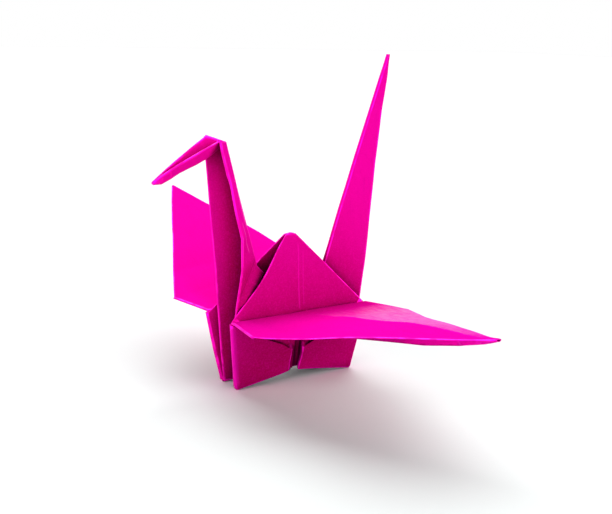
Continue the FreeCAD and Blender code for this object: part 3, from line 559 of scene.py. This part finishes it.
def paper_material():
    """Coloured paper: clouds, grain and fibres in its tint, rubbed folds with painted
    highlight, and painted shade in recesses.
    """
    material = bpy.data.materials.new(SLOT)
    nodes = Nodes(material, "Principled BSDF")
    place = nodes.flat_place()
    ridge = nodes.attribute("ridge_distance")["Fac"]
    valley = nodes.attribute("valley_distance")["Fac"]
    grain = nodes.noise(**GRAIN)
    fibres = nodes.noise(**FIBRES)
    in_neck = nodes.fade(place["X"], *IN_NECK)
    in_head = nodes.fade(place["X"], *IN_HEAD)

    # Painted shade from how sheltered a point is, lightened in the neck and head by a painted
    # glow
    glow = nodes.math("ADD", in_neck, in_head)
    light = nodes.math("MULTIPLY_ADD", glow, NECK_GLOW, nodes.shelter(SHADE_REACH))
    tint = nodes.blend(nodes.ramp(light, *OPEN_RANGE), SHADED, PAPER_COLOUR)
    tint = nodes.blend(nodes.ramp(nodes.noise(**CLOUDS), *CLOUD_RANGE), tint, CLOUDED)
    tint = nodes.blend(nodes.ramp(fibres, *FIBRE_RANGE), tint, FIBROUS)
    tint = nodes.blend(nodes.ramp(grain, *GRAIN_RANGE), tint, BRIGHT)
    # Painted shade deep in crevices, half as dark in the neck
    crevice = nodes.product(nodes.ramp(nodes.shelter(CREVICE_REACH), *CREVICE_RANGE),
                            nodes.ramp(in_neck, 0.0, 1.0, 1.0, NECK_CREVICES))
    tint = nodes.blend(crevice, tint, CREVICED)
    # Painted shade along inward folds
    tint = nodes.blend(nodes.ramp(valley, *SUNKEN_RANGE), tint, SUNKEN)

    dark, sheltered = under_flaps(nodes, place)
    patches = nodes.ramp(nodes.noise(**WEAR), *WEAR_RANGE)
    # Outward folds: wear, with a painted highlight in BRIGHT and a metallic glint
    rubbed_and_highlit = nodes.product(nodes.ramp(ridge, *RUB_AND_HIGHLIGHT_RANGE),
                           nodes.math("ADD", patches, LEAST_RUB_AND_HIGHLIGHT),
                           nodes.ramp(sheltered, 0.0, 1.0, 1.0, SHELTERED_RUB_AND_HIGHLIGHT))
    polish_and_glint = nodes.math("MULTIPLY", rubbed_and_highlit, RUB_AND_HIGHLIGHT_GLOSS)
    # Lines of painted highlight, sheen and shade, some with a metallic glint
    for start, end, side, half_width, strength, gloss, colour in PAINTED_LINES:
        line = painted_line(nodes, place, Vector(start) * MM, Vector(end) * MM,
                            side, half_width * MM)
        tint = nodes.blend(nodes.math("MULTIPLY", line, strength), tint, colour)
        polish_and_glint = nodes.math("MAXIMUM", polish_and_glint, nodes.math("MULTIPLY", line, gloss))
    # Painted shade behind the outer flaps
    tint = nodes.blend(dark, tint, BEHIND)
    tint = nodes.blend(rubbed_and_highlit, tint, BRIGHT)

    brushed = nodes.math("MULTIPLY", brushed_wing(nodes, place), BRUSHED_GLOSS)
    relief = nodes.bump(fibres, FIBRE_RELIEF, below=nodes.bump(grain, GRAIN_RELIEF))
    inputs = nodes.shader.inputs
    nodes.feed(inputs["Base Color"], tint)
    nodes.feed(inputs["Metallic"], polish_and_glint)
    nodes.feed(inputs["Specular IOR Level"], brushed)
    nodes.feed(inputs["Roughness"], ROUGHNESS)
    nodes.feed(inputs["Sheen Weight"], SHEEN_WEIGHT)
    nodes.feed(inputs["Sheen Roughness"], SHEEN_ROUGHNESS)
    nodes.feed(inputs["Sheen Tint"], SHEEN)
    nodes.feed(inputs["Normal"], relief)
    return material


def floor_material():
    """Pale where the camera sees it, and darker for the light that it gives back."""
    material = bpy.data.materials.new("floor")
    nodes = Nodes(material, "Principled BSDF")
    seen = nodes.tree.nodes.new("ShaderNodeLightPath").outputs["Is Camera Ray"]
    bounce = (FLOOR_BOUNCE, FLOOR_BOUNCE, FLOOR_BOUNCE, 1)
    nodes.feed(nodes.shader.inputs["Base Color"], nodes.blend(seen, bounce, FLOOR_SEEN))
    nodes.feed(nodes.shader.inputs["Roughness"], 1.0)
    nodes.feed(nodes.shader.inputs["Specular IOR Level"], 0.0)
    return material


def build_stage():
    bpy.ops.mesh.primitive_plane_add(size=FLOOR_SIZE)
    floor = bpy.context.object
    floor.name = "floor"
    floor.data.materials.append(floor_material())


def build_world():
    """White for the camera, in mirrors and through glass, and a weak light on the object."""
    world = bpy.data.worlds.new("studio")
    nodes = Nodes(world, "Background")
    nodes.feed(nodes.shader.inputs["Strength"], SKY)
    nodes.feed(nodes.shader.inputs["Color"], WHITE)
    backdrop = nodes.tree.nodes.new("ShaderNodeBackground")
    nodes.feed(backdrop.inputs["Strength"], 1.0)
    nodes.feed(backdrop.inputs["Color"], WHITE)
    path = nodes.tree.nodes.new("ShaderNodeLightPath").outputs
    seen = nodes.math("MAXIMUM", path["Is Camera Ray"], path["Is Glossy Ray"])
    seen = nodes.math("MAXIMUM", seen, path["Is Transmission Ray"])
    mix = nodes.tree.nodes.new("ShaderNodeMixShader")
    nodes.link(seen, mix.inputs[0])
    nodes.link(nodes.shader.outputs[0], mix.inputs[1])
    nodes.link(backdrop.outputs[0], mix.inputs[2])
    nodes.link(mix.outputs[0], nodes.tree.nodes["World Output"].inputs["Surface"])
    bpy.context.scene.world = world


def build_lamps():
    for name, turned, raised, strength, width in LAMPS:
        sun = bpy.data.lights.new(name, "SUN")
        sun.energy = strength
        sun.angle = math.radians(width)
        heading = math.radians(turned)
        height = math.radians(raised)
        level = Vector((math.cos(heading), math.sin(heading), 0))
        source = level * math.cos(height) + Vector((0, 0, math.sin(height)))
        lamp = bpy.data.objects.new(name, sun)
        lamp.rotation_euler = source.to_track_quat("Z", "Y").to_euler()
        bpy.context.scene.collection.objects.link(lamp)


def build_camera():
    """Camera on a sphere round its aim, rolled a little about its line of sight."""
    back = Vector((math.sin(AZIMUTH) * math.cos(ELEVATION),
                   -math.cos(AZIMUTH) * math.cos(ELEVATION),
                   math.sin(ELEVATION)))
    level = Vector((math.cos(AZIMUTH), math.sin(AZIMUTH), 0))
    upright = back.cross(level)
    right = level * math.cos(ROLL) + upright * math.sin(ROLL)
    up = upright * math.cos(ROLL) - level * math.sin(ROLL)
    camera = bpy.data.cameras.new("camera")
    camera.lens = LENS
    camera.clip_start = NEAREST_SEEN
    holder = bpy.data.objects.new("camera", camera)
    place = Matrix((right, up, back)).transposed().to_4x4()
    place.translation = AIM + back * DISTANCE
    holder.matrix_world = place
    bpy.context.scene.collection.objects.link(holder)
    bpy.context.scene.camera = holder


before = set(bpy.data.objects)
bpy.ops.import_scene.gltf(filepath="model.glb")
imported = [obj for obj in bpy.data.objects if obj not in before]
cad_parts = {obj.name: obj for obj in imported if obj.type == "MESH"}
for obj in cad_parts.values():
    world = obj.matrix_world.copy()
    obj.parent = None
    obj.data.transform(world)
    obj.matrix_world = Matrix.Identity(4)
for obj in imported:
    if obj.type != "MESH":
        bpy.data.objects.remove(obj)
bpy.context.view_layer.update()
bpy.context.scene.view_settings.view_transform = "Standard"

paper = refined(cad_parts[NODE])
mark_folds(paper)
for vert in paper.verts:
    vert.co = settled(vert.co)
crane = finished_object(paper, "crane", paper_material())
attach(crane, "root")
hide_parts(NODE)

build_stage()
build_world()
build_lamps()
build_camera()
